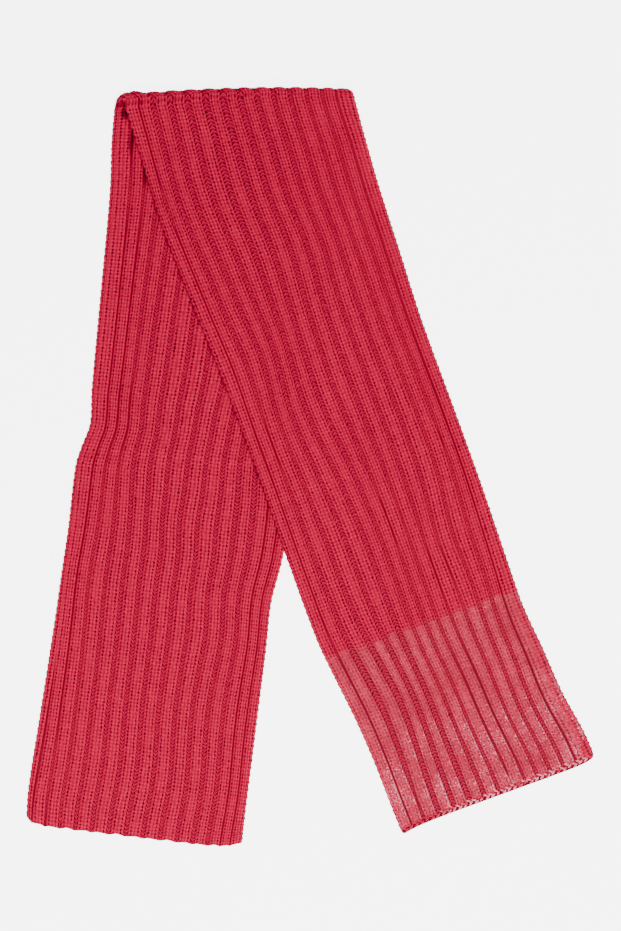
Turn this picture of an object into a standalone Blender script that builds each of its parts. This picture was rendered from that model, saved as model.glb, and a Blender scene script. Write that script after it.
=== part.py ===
"""
A wide-rib knitted scarf, folded once across its middle and laid flat.

The scarf is one long band of three-by-three rib. Its lower half runs from the fold down to the left, and its
upper half turns over the fold and runs down to the right, across the lower half and on to the surface. The
last stretch of the upper half carries a foil coating on its ribs and ends in a bind-off edge.

The frame: +Z up, the underside on z = 0, the origin under the middle of the scarf, +Y towards the fold.
Every "run" is a distance along a half's middle, from the fold's outer line. Every "across" is a share of the
width, 0 at the left selvedge and 1 at the right one. All sizes are in millimetres until a point is placed.
"""

import math
from collections import namedtuple

import bmesh
import bpy
from mathutils import Vector

MILLIMETRE = 0.001

# The knit
WALL = 2.6                # cloth between two ribs
RIB_RISE = 1.8            # a rib's crown above that
SELVEDGE_WALL = 1.7       # cloth at the selvedge itself
FULL_RIB_WIDTH = 8.0      # a rib narrower than this rises less
THICKNESS = WALL + RIB_RISE
SEAM_GAP = 0.3            # between two pieces

# The ribs' cross-section, from one recess to the next
RibPoint = namedtuple("RibPoint", "share rise")
RIB_SECTION = [
    RibPoint(0.00, 0.00),
    RibPoint(0.20, 0.80),
    RibPoint(0.50, 1.00),
    RibPoint(0.80, 0.80),
    RibPoint(1.00, 0.00),
]

# Each half's course over the surface. The turn is the rows' slope, in degrees, up towards the right.
Section = namedtuple("Section", "run mid_x mid_y turn width")
LOWER_SECTIONS = [
    Section(0, -81.0, 398.5, 2.2, 255.0),
    Section(47, -86.0, 351.0, 0.0, 252.0),
    Section(107, -92.5, 291.5, -2.5, 243.0),
    Section(219, -105.5, 180.0, -5.0, 237.0),
    Section(328, -119.5, 72.0, -6.0, 229.0),
    Section(365, -123.0, 35.5, -6.0, 225.5),
    Section(391, -129.5, 10.5, -6.5, 230.5),
    Section(413, -134.5, -11.0, -6.5, 234.0),
    Section(484, -144.0, -81.0, -7.5, 231.5),
    Section(531, -153.5, -127.5, -8.0, 226.5),
    Section(582, -160.0, -178.5, -8.0, 228.0),
    Section(686, -174.5, -281.0, -8.5, 231.0),
    Section(768, -186.0, -362.5, -8.5, 233.5),
    Section(800, -188.5, -394.5, -6.8, 231.5),
]
UPPER_SECTIONS = [
    Section(0, -77.0, 399.0, 2.0, 244.5),
    Section(57, -61.5, 344.5, 6.0, 240.0),
    Section(129, -40.5, 275.0, 11.0, 235.5),
    Section(208, -14.0, 201.5, 16.0, 228.5),
    Section(290, 14.0, 124.0, 19.0, 222.0),
    Section(393, 49.5, 27.5, 20.0, 221.5),
    Section(478, 78.0, -53.0, 20.0, 222.5),
    Section(575, 110.0, -144.0, 20.0, 220.5),
    Section(620, 127.0, -185.5, 20.0, 216.0),
    Section(669, 148.5, -230.0, 20.5, 214.5),
    Section(720, 169.0, -276.5, 20.5, 214.5),
    Section(768, 189.5, -320.5, 20.5, 221.0),
    Section(801, 202.0, -350.5, 20.0, 222.0),
]

# The recesses between ribs, across each half. The lower half shows one face of the rib and the upper half the
# other, so a recess of one is a rib of the other.
LOWER_RECESSES = [
    0.020, 0.083, 0.148, 0.218, 0.291, 0.368, 0.447, 0.529, 0.610, 0.690, 0.765, 0.838, 0.903, 0.953,
]
UPPER_RECESSES = [
    0.058, 0.122, 0.198, 0.276, 0.355, 0.432, 0.508, 0.583, 0.657, 0.730, 0.802, 0.871, 0.932,
]
RECESS_OPEN = 4.6         # a recess's floor in mid-width
RECESS_CLOSED = 1.4       # the same by the selvedges, where the ribs crowd
FOIL_CLOSING = 0.55       # how far the coated end pulls its recesses shut

# How the ribs wander: each row shifts the ribs near one place sideways, most at its middle.
Sway = namedtuple("Sway", "run across shift reach spread")
LOWER_SWAYS = [
    Sway(260, 0.10, 2.5, 260, 0.08),
    Sway(290, 0.30, -8.5, 170, 0.20),
    Sway(370, 0.70, -7.5, 50, 0.53),
    Sway(460, 0.57, -5.0, 35, 0.19),
    Sway(525, 0.14, -4.5, 80, 0.09),
    Sway(575, 0.75, 4.5, 45, 0.17),
    Sway(675, 0.36, 3.5, 140, 0.22),
    Sway(740, 0.59, 5.5, 55, 0.46),
    Sway(800, 1.00, -3.0, 145, 0.14),
]
UPPER_SWAYS = [
    Sway(15, 0.88, -2.5, 35, 0.60),
    Sway(90, 0.22, -4.5, 55, 0.19),
    Sway(170, 0.56, 3.5, 45, 0.20),
    Sway(275, 0.23, 6.0, 50, 0.16),
    Sway(330, 0.36, -9.5, 100, 0.19),
    Sway(515, 0.78, -6.0, 50, 0.10),
    Sway(515, 0.83, 6.5, 260, 0.12),
    Sway(530, 0.38, 7.0, 195, 0.15),
    Sway(660, 0.20, 8.0, 85, 0.11),
    Sway(720, 0.84, -10.0, 170, 0.18),
]

# The fold: the cloth rolls over itself round a narrow hollow.
FOLD_HOLLOW = 1.9         # radius of the hollow inside the roll
FOLD_RADIUS = FOLD_HOLLOW + THICKNESS
FOLD_HEIGHT = 2 * FOLD_RADIUS
FOLD_LEFT = (-207.5, 400.5)
FOLD_RIGHT = (46.5, 404.5)
FOLD_BOW = 4.6            # how far the fold's line bows outwards
FOLD_BOW_CENTRE = 0.575
BOW_REACH = 60.0          # how far down the rows keep that bow
FOLD_LEAD = 0.045         # the upper half starts this much further right
ROLL_STEPS = [12, 35, 58, 81, 104, 127, 150, 170]    # degrees round the roll
RIBS_START = 35           # degrees: nearer the surface the roll's ribs are pressed flat
RIBS_FULL = 90
STRETCH_START = 8.5       # where both halves leave the roll

# How the upper half lies
REST_HEIGHT = THICKNESS + SEAM_GAP
REST_MARGIN = 9.0         # past the lower half's edge before it drops
REST_REACH = 32.0         # over which it drops to the surface
LIFT = FOLD_HEIGHT - THICKNESS - REST_HEIGHT
LIFT_REACH = 48.0         # over which it settles after the fold

# The crease left by packing, a trough across each half
LOWER_CREASE = 396.0
UPPER_CREASE = 429.0
CREASE_DEPTH = 0.7
CREASE_HALF_WIDTH = 9.0

# Where the stretches end
LOWER_END = 800.0
FOIL_START = 598.0
UPPER_END = 801.0
BIND_OFF_WIDTH = 4.6
BIND_OFF_HEIGHT = 3.6
BIND_OFF_TIP = 0.6        # share of that height left at the two corners
END_SHARE = 0.55          # a rib's rise on the very last row
END_TAPER = 5.0
ROW_STEP = 42.0

# The ends' corners: how far each is drawn in along its selvedge, or out where it is negative
Corner = namedtuple("Corner", "across pull reach")
LOWER_CORNERS = [
    Corner(0.0, 6.0, 7.0),
    Corner(1.0, 9.0, 13.0),
]
UPPER_CORNERS = [
    Corner(0.0, -4.5, 16.0),
    Corner(1.0, 4.5, 9.0),
]
CORNER_FADE = 36.0        # the pull dies away over this length

# The middle of the laid scarf, from the point that the sections are measured from
MIDDLE_X = 0.69
MIDDLE_Y = 1.72

# Looks
KNIT_RED = (0.62, 0.045, 0.085, 1.0)
FOIL_PINK = (0.66, 0.16, 0.20, 1.0)


def ease(value):
    """A soft step from 0 to 1."""
    share = min(1.0, max(0.0, value))
    return share * share * (3.0 - 2.0 * share)


def at_run(sections, run):
    """The section at a run, on a smooth curve through the table's rows."""
    last = len(sections) - 2
    row = max(i for i in range(last + 1) if i == 0 or sections[i].run <= run)
    before = sections[row]
    after = sections[row + 1]
    span = after.run - before.run
    share = (run - before.run) / span

    def slope(index, column):
        low = sections[max(0, index - 1)]
        high = sections[min(len(sections) - 1, index + 1)]
        return (high[column] - low[column]) / (high.run - low.run)

    def blend(column):
        square = share * share
        cube = square * share
        start = (2 * cube - 3 * square + 1) * before[column]
        start += (cube - 2 * square + share) * span * slope(row, column)
        finish = (3 * square - 2 * cube) * after[column]
        finish += (cube - square) * span * slope(row + 1, column)
        return start + finish

    return Section(run, *(blend(column) for column in range(1, 5)))


def bow(across):
    """The fold's outward bow, largest right of its middle."""
    return FOLD_BOW * (1.0 - (2.0 * (across - FOLD_BOW_CENTRE)) ** 2)


def in_plan(sections, run, across):
    """A point of a half, seen from above."""
    section = at_run(sections, run)
    turn = math.radians(section.turn)
    along_row = Vector((math.cos(turn), math.sin(turn)))
    up_row = Vector((-math.sin(turn), math.cos(turn)))
    middle = Vector((section.mid_x, section.mid_y))
    bowed = bow(across) * math.exp(-run / BOW_REACH)
    return middle + along_row * (across - 0.5) * section.width + up_row * bowed


def cornered(sections, corners, end, run, across):
    """A point of a half in plan, with the end's corners drawn in or out."""
    width = at_run(sections, run).width
    drawn = 0.0
    for corner in corners:
        drawn += corner.pull * math.exp(-abs(across - corner.across) * width / corner.reach)
    near_end = ease((run - end + CORNER_FADE) / CORNER_FADE)
    return in_plan(sections, run - drawn * near_end, across)


def swayed(sways, run, across, width):
    """Where a rib line that starts at this share of the width has wandered to."""
    shift = 0.0
    for sway in sways:
        along = (run - sway.run) / sway.reach
        sideways = (across - sway.across) / sway.spread
        shift += sway.shift * math.exp(-along * along - sideways * sideways)
    return across + shift / width


def rib_profile(sections, recesses, sways, run, closing=0.0):
    """One row's ribs, from the left selvedge to the right: a list of (across, rise) in a fixed order."""
    width = at_run(sections, run).width
    starts = [0.0]
    ends = []
    for across in recesses:
        line = swayed(sways, run, across, width)
        crowding = abs(2.0 * across - 1.0) ** 3
        opening = RECESS_OPEN + (RECESS_CLOSED - RECESS_OPEN) * crowding
        opening *= 1.0 - closing
        ends.append(line - 0.5 * opening / width)
        starts.append(line + 0.5 * opening / width)
    ends.append(1.0)
    profile = []
    for start, end in zip(starts, ends):
        rib_rise = min(1.0, (end - start) * width / FULL_RIB_WIDTH)
        for point in RIB_SECTION:
            profile.append((start + (end - start) * point.share, rib_rise * point.rise))
    return profile


def cloth_height(across, rise):
    """The wall's height at a point of the profile. The selvedges are the thinnest."""
    floor = SELVEDGE_WALL if across in (0.0, 1.0) else WALL
    return floor + RIB_RISE * rise


def creased(run, crease):
    """How far the packing crease presses the ribs down at this row."""
    return CREASE_DEPTH * (1.0 - ease(abs(run - crease) / CREASE_HALF_WIDTH))


def tapered(run, end):
    """The share of a rib's rise that is left as the row nears the end."""
    return END_SHARE + (1.0 - END_SHARE) * ease((end - run) / END_TAPER)


LOWER_RIGHT_EDGE = [in_plan(LOWER_SECTIONS, LOWER_END * step / 80, 1.0) for step in range(81)]


def past_lower_edge(point):
    """How far right of the lower half's right edge a point lies; negative over the lower half."""
    return min(
        (point.x - edge.x if abs(point.y - edge.y) < LOWER_END / 160 + 1.0 else math.inf)
        for edge in LOWER_RIGHT_EDGE
    )


def resting(point, run):
    """The height of the upper half's underside over a place on the surface."""
    past = past_lower_edge(point)
    rest = REST_HEIGHT * (1.0 - ease((past - REST_MARGIN) / REST_REACH))
    lift = LIFT * (1.0 - ease((run - STRETCH_START) / LIFT_REACH))
    return rest + lift


def rows_between(start, end, extra=()):
    """Rows a step apart from start to end, with extra rows set among them."""
    count = math.ceil((end - start) / ROW_STEP)
    rows = [start + (end - start) * step / count for step in range(count + 1)]
    clear = ROW_STEP / 5
    rows = [run for run in rows if run in (start, end) or all(abs(run - more) > clear for more in extra)]
    return sorted(rows + list(extra))


def make_material(name, colour, metallic, roughness):
    """A plain Principled material."""
    material = bpy.data.materials.new(name)
    material.use_nodes = True
    shader = material.node_tree.nodes["Principled BSDF"]
    shader.inputs["Base Color"].default_value = colour
    shader.inputs["Metallic"].default_value = metallic
    shader.inputs["Roughness"].default_value = roughness
    material.diffuse_color = colour
    return material


def make_wall(name, columns, rows, face, back, material, collection, flat_heights=()):
    """
    A wall of cloth: a grid whose points are placed by face(column, row), extruded to a back placed by
    back(column, row). The back's faces that lie flat at one of flat_heights become one face each.
    """
    bm = bmesh.new()
    bmesh.ops.create_grid(bm, x_segments=columns - 1, y_segments=rows - 1, size=1.0)
    address = {}
    for vert in bm.verts:
        column = round((vert.co.x + 1.0) / 2.0 * (columns - 1))
        row = round((vert.co.y + 1.0) / 2.0 * (rows - 1))
        address[vert] = (column, row)
    front_faces = bm.faces[:]
    made = bmesh.ops.extrude_face_region(bm, geom=front_faces)["geom"]
    back_verts = [item for item in made if isinstance(item, bmesh.types.BMVert)]
    back_faces = [item for item in made if isinstance(item, bmesh.types.BMFace)]
    for vert in back_verts:
        column = round((vert.co.x + 1.0) / 2.0 * (columns - 1))
        row = round((vert.co.y + 1.0) / 2.0 * (rows - 1))
        vert.co = back(column, row) * MILLIMETRE
    for vert, (column, row) in address.items():
        vert.co = face(column, row) * MILLIMETRE
    for height in flat_heights:
        level = height * MILLIMETRE
        flat = [item for item in back_faces
                if item.is_valid and all(abs(vert.co.z - level) < 1e-7 for vert in item.verts)]
        if flat:
            bmesh.ops.dissolve_faces(bm, faces=flat, use_verts=False)
    bmesh.ops.recalc_face_normals(bm, faces=bm.faces[:])
    if bm.calc_volume(signed=True) < 0.0:
        bmesh.ops.reverse_faces(bm, faces=bm.faces[:])
    mesh = bpy.data.meshes.new(name)
    bm.to_mesh(mesh)
    bm.free()
    mesh.shade_smooth()
    mesh.set_sharp_from_angle(angle=math.radians(50))
    mesh.materials.append(material)
    wall = bpy.data.objects.new(name, mesh)
    collection.objects.link(wall)
    return wall


def raised(plan, height):
    """A point of the plan at a height, measured from the scarf's middle."""
    return Vector((plan.x - MIDDLE_X, plan.y - MIDDLE_Y, height))


for old in list(bpy.data.objects):
    bpy.data.objects.remove(old, do_unlink=True)

scarf = bpy.data.collections.new("ribbed_scarf")
bpy.context.scene.collection.children.link(scarf)
lower_red = make_material("lower_knit_red", KNIT_RED, 0.0, 0.9)
fold_red = make_material("fold_knit_red", KNIT_RED, 0.0, 0.9)
upper_red = make_material("upper_knit_red", KNIT_RED, 0.0, 0.9)
foil = make_material("foil_coated_knit", FOIL_PINK, 0.35, 0.45)
foil_edge = make_material("foil_coated_edge", FOIL_PINK, 0.35, 0.5)


# The lower stretch lies flat on the surface, from the fold to its plain cast-on end.
lower_rows = rows_between(
    STRETCH_START,
    LOWER_END,
    (LOWER_CREASE - CREASE_HALF_WIDTH, LOWER_CREASE, LOWER_CREASE + CREASE_HALF_WIDTH, LOWER_END - END_TAPER),
)
lower_profiles = [rib_profile(LOWER_SECTIONS, LOWER_RECESSES, LOWER_SWAYS, run) for run in lower_rows]


def lower_plan(column, row):
    across = lower_profiles[row][column][0]
    return cornered(LOWER_SECTIONS, LOWER_CORNERS, LOWER_END, lower_rows[row], across)


def lower_face(column, row):
    across, rise = lower_profiles[row][column]
    run = lower_rows[row]
    height = cloth_height(across, rise * tapered(run, LOWER_END)) - creased(run, LOWER_CREASE) * rise
    return raised(lower_plan(column, row), height)


def lower_back(column, row):
    return raised(lower_plan(column, row), 0.0)


make_wall(
    "lower_stretch", len(lower_profiles[0]), len(lower_rows), lower_face, lower_back, lower_red, scarf, (0.0,),
)


# The upper stretch leaves the roll, lies over the lower one and drops on to the surface beyond its edge.
def upper_stretch(name, start, end, extra, last_end, closing_at, material):
    """One stretch of the upper half, between two runs."""
    rows = rows_between(start, end, extra)
    profiles = [
        rib_profile(UPPER_SECTIONS, UPPER_RECESSES, UPPER_SWAYS, run, closing_at(run))
        for run in rows
    ]
    points = [[cornered(UPPER_SECTIONS, UPPER_CORNERS, UPPER_END, run, across) for across, _ in profile]
              for run, profile in zip(rows, profiles)]
    undersides = [[resting(point, run) for point in row] for run, row in zip(rows, points)]

    def face(column, row):
        across, rise = profiles[row][column]
        run = rows[row]
        height = cloth_height(across, rise * tapered(run, last_end)) - creased(run, UPPER_CREASE) * rise
        return raised(points[row][column], undersides[row][column] + height)

    def back(column, row):
        return raised(points[row][column], undersides[row][column])

    return make_wall(name, len(profiles[0]), len(rows), face, back, material, scarf, (0.0, REST_HEIGHT))


def foil_closing(run):
    return FOIL_CLOSING * ease((run - FOIL_START + ROW_STEP) / (2.0 * ROW_STEP))


upper_extra = (
    STRETCH_START + 12.0,
    STRETCH_START + 26.0,
    UPPER_CREASE - CREASE_HALF_WIDTH,
    UPPER_CREASE,
    UPPER_CREASE + CREASE_HALF_WIDTH,
)
foil_end = UPPER_END - BIND_OFF_WIDTH
upper_stretch(
    "upper_stretch", STRETCH_START, FOIL_START - 0.5 * SEAM_GAP, upper_extra, UPPER_END + END_TAPER,
    foil_closing, upper_red,
)
upper_stretch(
    "foil_stretch", FOIL_START + 0.5 * SEAM_GAP, foil_end - SEAM_GAP, (), UPPER_END + END_TAPER,
    foil_closing, foil,
)


# The bind-off edge is a low rounded cord of loops along the coated end.
BindOffRow = namedtuple("BindOffRow", "share height")
BIND_OFF_ROWS = [BindOffRow(0.0, 0.65), BindOffRow(0.4, 1.0), BindOffRow(1.0, 0.5)]
bind_off_columns = [
    across for across, _ in rib_profile(
        UPPER_SECTIONS, UPPER_RECESSES, UPPER_SWAYS, foil_end - SEAM_GAP, foil_closing(foil_end - SEAM_GAP),
    )
]


def bind_off_plan(column, row):
    run = foil_end + BIND_OFF_WIDTH * BIND_OFF_ROWS[row].share
    return cornered(UPPER_SECTIONS, UPPER_CORNERS, UPPER_END, run, bind_off_columns[column])


def bind_off_face(column, row):
    height = BIND_OFF_HEIGHT * BIND_OFF_ROWS[row].height
    if bind_off_columns[column] in (0.0, 1.0):
        height *= BIND_OFF_TIP
    return raised(bind_off_plan(column, row), height)


def bind_off_back(column, row):
    return raised(bind_off_plan(column, row), 0.0)


make_wall(
    "bind_off_edge", len(bind_off_columns), len(BIND_OFF_ROWS), bind_off_face, bind_off_back, foil_edge, scarf,
    (0.0,),
)


# The fold is a roll of the same cloth: ribbed outside, plain inside, and open at both selvedges.
fold_run = STRETCH_START - SEAM_GAP
fold_profile = rib_profile(UPPER_SECTIONS, UPPER_RECESSES, UPPER_SWAYS, fold_run)
fold_left = Vector(FOLD_LEFT)
fold_right = Vector(FOLD_RIGHT)
fold_along = fold_right - fold_left
fold_out = Vector((-fold_along.y, fold_along.x)).normalized()
roll_rows = len(ROLL_STEPS) + 2


def fold_point(column, row, radius, leg_height):
    """A point of the roll: its first and last rows are the legs that meet the two halves."""
    across = fold_profile[column][0]
    if row == 0:
        return raised(in_plan(LOWER_SECTIONS, fold_run, across), FOLD_RADIUS - leg_height)
    if row == roll_rows - 1:
        return raised(in_plan(UPPER_SECTIONS, fold_run, across), FOLD_RADIUS + leg_height)
    step = ROLL_STEPS[row - 1]
    lead = FOLD_LEAD * ease((step - 90.0) / 90.0)
    share = lead + (1.0 - lead) * across
    line = fold_left + fold_along * share + fold_out * (bow(across) - FOLD_RADIUS)
    angle = math.radians(step)
    return raised(line + fold_out * radius * math.sin(angle), FOLD_RADIUS - radius * math.cos(angle))


def fold_face(column, row):
    across, rise = fold_profile[column]
    step = 0.0 if row == 0 else 180.0 if row == roll_rows - 1 else ROLL_STEPS[row - 1]
    standing = ease((step - RIBS_START) / (RIBS_FULL - RIBS_START))
    outer = FOLD_HOLLOW + WALL + RIB_RISE * (1.0 - standing * (1.0 - rise))
    return fold_point(column, row, outer, outer)


def fold_back(column, row):
    return fold_point(column, row, FOLD_HOLLOW, FOLD_HOLLOW)


make_wall("fold_stretch", len(fold_profile), roll_rows, fold_face, fold_back, fold_red, scarf)
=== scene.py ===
"""
A wide-rib knitted scarf, folded once across its middle and laid flat, with foil on the ribs of its upper end.

Every "run" is a distance along a half's middle, from the fold's outer line, and every "across" is a share of
the width, 0 at the left selvedge and 1 at the right one. Sizes are in millimetres until a point is placed.
"""

import math
from collections import namedtuple

import bmesh
import bpy
import numpy as np
from mathutils import Matrix, Vector


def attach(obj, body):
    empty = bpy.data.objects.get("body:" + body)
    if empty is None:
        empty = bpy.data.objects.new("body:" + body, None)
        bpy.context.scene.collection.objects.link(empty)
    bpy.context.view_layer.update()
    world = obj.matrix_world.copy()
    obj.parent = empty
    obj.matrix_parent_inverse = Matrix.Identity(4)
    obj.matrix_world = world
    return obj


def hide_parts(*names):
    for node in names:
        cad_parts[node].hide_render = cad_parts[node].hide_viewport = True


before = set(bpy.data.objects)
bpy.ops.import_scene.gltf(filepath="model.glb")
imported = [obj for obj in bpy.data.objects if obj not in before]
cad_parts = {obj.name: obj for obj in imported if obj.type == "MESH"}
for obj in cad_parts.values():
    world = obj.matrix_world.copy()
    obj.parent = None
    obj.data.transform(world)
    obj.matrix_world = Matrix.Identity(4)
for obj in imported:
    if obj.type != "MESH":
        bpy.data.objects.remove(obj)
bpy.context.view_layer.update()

# The table: the scarf lies on a smooth, pale board in an even room light, with a key lamp to its right and a
# broad, soft lamp beyond its ends. The camera hangs straight above it.
MILLIMETRE = 0.001
VIEW_HEIGHT = 996.2
CAMERA_AWAY = 5000.0
CAMERA_OVER = (-0.155, 0.955)
SENSOR_LONG_SIDE = 36.0
BOARD_REACH = 6000.0
BOARD_DROP = 0.3
BOARD_GREY = (0.88, 0.88, 0.88, 1.0)
ROOM_LIGHT = (1.0, 1.0, 1.0, 1.0)
ROOM_STRENGTH = 0.56
KEY_PLACE = (2400.0, -200.0, 4200.0)
KEY_SIZE = 900.0
KEY_POWER = 123.0
SOFT_PLACE = (-100.0, -1400.0, 1700.0)
SOFT_SIZE = 1200.0
SOFT_POWER = 44.0
BOARD_GLOW = 4.9

bm = bmesh.new()
bmesh.ops.create_grid(bm, x_segments=1, y_segments=1, size=0.5 * BOARD_REACH * MILLIMETRE)
bmesh.ops.translate(bm, verts=bm.verts[:], vec=(0.0, 0.0, -BOARD_DROP * MILLIMETRE))
board_mesh = bpy.data.meshes.new("board")
bm.to_mesh(board_mesh)
bm.free()
board = bpy.data.objects.new("board", board_mesh)
bpy.context.scene.collection.objects.link(board)
board_paint = bpy.data.materials.new("board_paint")
board_paint.use_nodes = True
board_paint.node_tree.nodes["Principled BSDF"].inputs["Base Color"].default_value = BOARD_GREY
board_paint.node_tree.nodes["Principled BSDF"].inputs["Roughness"].default_value = 0.9
board_paint.node_tree.nodes["Principled BSDF"].inputs["Specular IOR Level"].default_value = 0.1
board_paint.node_tree.nodes["Principled BSDF"].inputs["Emission Color"].default_value = ROOM_LIGHT
board_paint.node_tree.nodes["Principled BSDF"].inputs["Emission Strength"].default_value = BOARD_GLOW
board_mesh.materials.append(board_paint)

room = bpy.data.worlds.new("room")
room.use_nodes = True
room.node_tree.nodes["Background"].inputs["Color"].default_value = ROOM_LIGHT
room.node_tree.nodes["Background"].inputs["Strength"].default_value = ROOM_STRENGTH
bpy.context.scene.world = room

for name, place, size, power in (
    ("key_lamp", KEY_PLACE, KEY_SIZE, KEY_POWER), ("soft_lamp", SOFT_PLACE, SOFT_SIZE, SOFT_POWER),
):
    lamp_data = bpy.data.lights.new(name, "AREA")
    lamp_data.shape = "DISK"
    lamp_data.size = size * MILLIMETRE
    lamp_data.energy = power
    lamp = bpy.data.objects.new(name, lamp_data)
    lamp.location = Vector(place) * MILLIMETRE
    lamp.rotation_euler = Vector(place).to_track_quat("Z", "Y").to_euler()
    bpy.context.scene.collection.objects.link(lamp)

camera_data = bpy.data.cameras.new("camera")
camera_data.sensor_width = SENSOR_LONG_SIDE
camera_data.lens = SENSOR_LONG_SIDE * CAMERA_AWAY / VIEW_HEIGHT
camera_data.clip_start = 0.1
camera_data.clip_end = 50.0
camera = bpy.data.objects.new("camera", camera_data)
camera.location = (CAMERA_OVER[0] * MILLIMETRE, CAMERA_OVER[1] * MILLIMETRE, CAMERA_AWAY * MILLIMETRE)
bpy.context.scene.collection.objects.link(camera)
bpy.context.scene.camera = camera


# The lower half: 0.8 m of three-by-three rib in soft red yarn, from the fold down to the plain cast-on end.
# It was knitted in one piece with the rest. It lies flat on the board and shows one face of the rib.
WALL = 2.0
RIB_RISE = 2.4
THICKNESS = WALL + RIB_RISE
SELVEDGE_RIM = 0.7
SELVEDGE_WALL = 1.5
SELVEDGE_ROUND = 0.7
SELVEDGE_FALL = 5.0
SELVEDGE_LOW = 0.45
# The reach and strength of painted shade along the selvedges.
SELVEDGE_SHADE = 1.7
SELVEDGE_DARK = 0.75
SCALLOP = 0.85
SCALLOP_ROWS = 2.0
SCALLOP_REACH = 2.2
FULL_RIB_WIDTH = 8.0
RIB_SQUARENESS = 3.2
RIB_SOFTNESS = 0.62

# Stitches. A rib has three columns of them between four strands, and a recess one column of the knit's back.
STEPS_PER_WALE = 4
RIB_WALES = 3.5
RECESS_WALES = 1.5
RIB_PITCH = RIB_WALES + RECESS_WALES
STRAND_EDGE = 0.25
STEPS_PER_ROW = 3
STRAND_RISE = 0.18
PIT_DEPTH = 0.45
PIT_WIDTH = 0.24
PIT_LENGTH = 0.30
STITCH_SLANT = 0.30
STITCH_LEAN = 1.2
BACK_RISE = 0.36
BACK_SLANT = 0.70
BACK_REACH = 1.2

Course = namedtuple("Course", "run mid_x mid_y turn width")
Sway = namedtuple("Sway", "run across shift reach spread")
Corner = namedtuple("Corner", "across pull reach")
Recess = namedtuple("Recess", "across opening")
Gather = namedtuple("Gather", "run across change reach spread")
Tuck = namedtuple("Tuck", "run across depth reach spread")
Half = namedtuple("Half", "course recesses sways gathers tucks corners end first_wale facing")

SHUT_OPENING = 1.6
FREE_OPENING = 4.6
LEAST_OPENING = 0.9
COVERED_OPENING = 0.8
COVERED_FADE = 0.4
COVERED_RISE = 0.86
# How much painted shade a tuck adds for each millimetre of its depth.
TUCK_SHADE = 1.25
CORNER_FADE = 36.0
FOLD_BOW = 4.6
FOLD_BOW_CENTRE = 0.575
BOW_REACH = 60.0
STRETCH_START = 8.5
END_SHARE = 0.55
END_TAPER = 5.0
END_POINT = 0.9
END_POINT_REACH = 7.0
LOWER_CREASE = 396.0
CREASE_DEPTH = 0.9
CREASE_HALF_WIDTH = 9.0
MIDDLE_X = 0.69
MIDDLE_Y = 1.72

LOWER = Half(
    course=[
        Course(0, -81.0, 398.5, 2.2, 255.0),
        Course(47, -86.0, 351.0, 0.0, 252.0),
        Course(107, -92.5, 291.5, -2.5, 243.0),
        Course(219, -105.5, 180.0, -5.0, 237.0),
        Course(328, -119.5, 72.0, -6.0, 229.0),
        Course(365, -123.0, 35.5, -6.0, 225.5),
        Course(391, -129.5, 10.5, -6.5, 230.5),
        Course(413, -134.5, -11.0, -6.5, 234.0),
        Course(484, -144.0, -81.0, -7.5, 231.5),
        Course(531, -153.5, -127.5, -8.0, 226.5),
        Course(582, -160.0, -178.5, -8.0, 228.0),
        Course(686, -174.5, -281.0, -8.5, 231.0),
        Course(768, -186.0, -362.5, -8.5, 233.5),
        Course(800, -188.5, -394.5, -6.8, 231.5),
    ],
    recesses=[
        Recess(0.020, 0.7),
        Recess(0.083, 1.9),
        Recess(0.148, 3.8),
        Recess(0.218, 4.6),
        Recess(0.291, 5.0),
        Recess(0.368, 5.2),
        Recess(0.447, 5.2),
        Recess(0.529, 5.2),
        Recess(0.610, 5.0),
        Recess(0.690, 5.0),
        Recess(0.765, 5.2),
        Recess(0.838, 4.8),
        Recess(0.903, 1.7),
        Recess(0.953, 1.5),
    ],
    sways=[
        Sway(260, 0.10, 2.5, 260, 0.08),
        Sway(290, 0.30, -8.5, 170, 0.20),
        Sway(370, 0.70, -7.5, 50, 0.53),
        Sway(460, 0.57, -5.0, 35, 0.19),
        Sway(525, 0.14, -4.5, 80, 0.09),
        Sway(575, 0.75, 4.5, 45, 0.17),
        Sway(675, 0.36, 3.5, 140, 0.22),
        Sway(740, 0.59, 5.5, 55, 0.46),
        Sway(800, 1.00, -3.0, 145, 0.14),
        Sway(650, 0.02, 2.5, 110, 0.03),
    ],
    gathers=[
        Gather(110, 0.083, 0.60, 45, 0.03),
        Gather(270, 0.148, -0.85, 125, 0.05),
        Gather(360, 0.218, -0.70, 55, 0.03),
        Gather(745, 0.083, 0.60, 55, 0.03),
        Gather(730, 0.020, 1.30, 90, 0.02),
        Gather(440, 0.860, 0.30, 60, 0.10),
    ],
    # Tucks at the fold's corner and where lower recesses pass under the upper half's edge: shallow dents with
    # painted shadow.
    tucks=[
        Tuck(15, 0.050, 1.6, 6, 0.020),
        Tuck(50, 0.083, 1.2, 14, 0.010),
        Tuck(86, 0.148, 1.2, 14, 0.010),
    ],
    corners=[Corner(0.0, 6.0, 7.0), Corner(1.0, 9.0, 13.0)],
    end=800.0,
    first_wale=2.0,
    facing=1.0,
)


def ease(value):
    """A soft step from 0 to 1."""
    share = np.clip(value, 0.0, 1.0)
    return share * share * (3.0 - 2.0 * share)


def course_at(course, run):
    """The half's middle, turn and width at each run, on smooth curves through the table's rows."""
    table = np.array(course)
    stops = table[:, 0]
    row = np.clip(np.searchsorted(stops, run, side="right") - 1, 0, len(table) - 2)
    low = np.maximum(np.arange(len(table)) - 1, 0)
    high = np.minimum(np.arange(len(table)) + 1, len(table) - 1)
    slopes = (table[high] - table[low]) / (table[high, :1] - table[low, :1])
    span = stops[row + 1] - stops[row]
    share = (run - stops[row]) / span
    square = share * share
    cube = square * share
    found = []
    for column in range(1, 5):
        start = (2 * cube - 3 * square + 1) * table[row, column]
        start = start + (cube - 2 * square + share) * span * slopes[row, column]
        finish = (3 * square - 2 * cube) * table[row + 1, column]
        finish = finish + (cube - square) * span * slopes[row + 1, column]
        found.append(start + finish)
    return Course(run, *found)


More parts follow.
